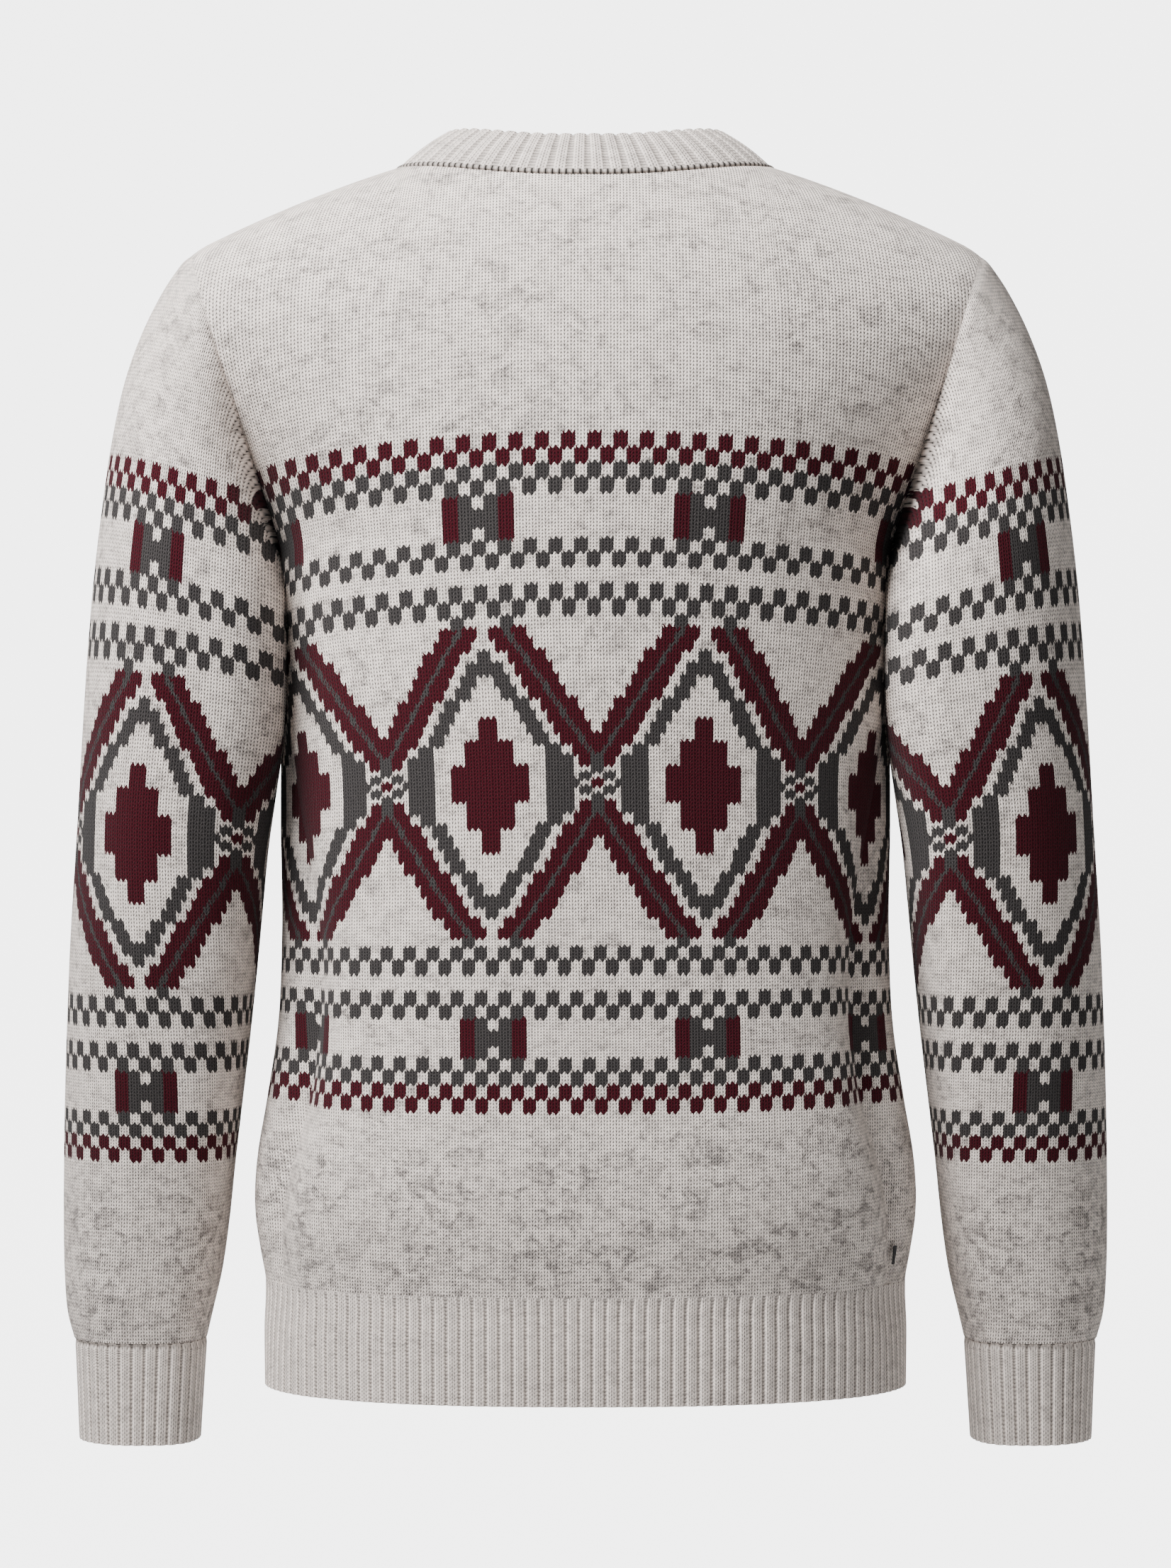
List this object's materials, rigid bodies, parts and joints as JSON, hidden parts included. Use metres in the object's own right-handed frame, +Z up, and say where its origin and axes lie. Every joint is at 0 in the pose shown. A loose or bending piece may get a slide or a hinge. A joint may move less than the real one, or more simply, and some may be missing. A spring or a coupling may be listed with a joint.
{
  "type": "jacquard sweater",
  "caption": "Crew-neck jacquard knit sweater with set-in sleeves and ribbed neckband, cuffs and hem, hollow and filled out as worn.",
  "frame": {"origin": "between the shoulders, level with the sides of the neck seam, where the wearer's shoulders hold the garment", "axes": "+X to the wearer's left, +Y out of the garment's back (the side in the picture), +Z up from hem to neck"},
  "size_m": [0.5796, 0.2364, 0.7265],
  "materials": {
    "back": "soft jacquard knit, light heather grey with dark red, grey and charcoal",
    "front": "soft jacquard knit, light heather grey with dark red, grey and charcoal",
    "sleeve_left": "soft jacquard knit, light heather grey with dark red, grey and charcoal",
    "sleeve_right": "soft jacquard knit, light heather grey with dark red, grey and charcoal",
    "neckband": "rib knit, light heather grey",
    "hem_rib_back": "rib knit, light heather grey",
    "hem_rib_front": "rib knit, light heather grey",
    "cuff_left": "rib knit, light heather grey",
    "cuff_right": "rib knit, light heather grey",
    "side_tag": "plain woven tape, dark grey"
  },
  "bodies": {
    "root": {"back": "back", "front": "front", "sleeve_left": "sleeve_left", "sleeve_right": "sleeve_right", "neckband": "neckband", "hem_rib_back": "hem_rib_back", "hem_rib_front": "hem_rib_front", "cuff_left": "cuff_left", "cuff_right": "cuff_right", "side_tag": "side_tag"}
  },
  "joints": []
}
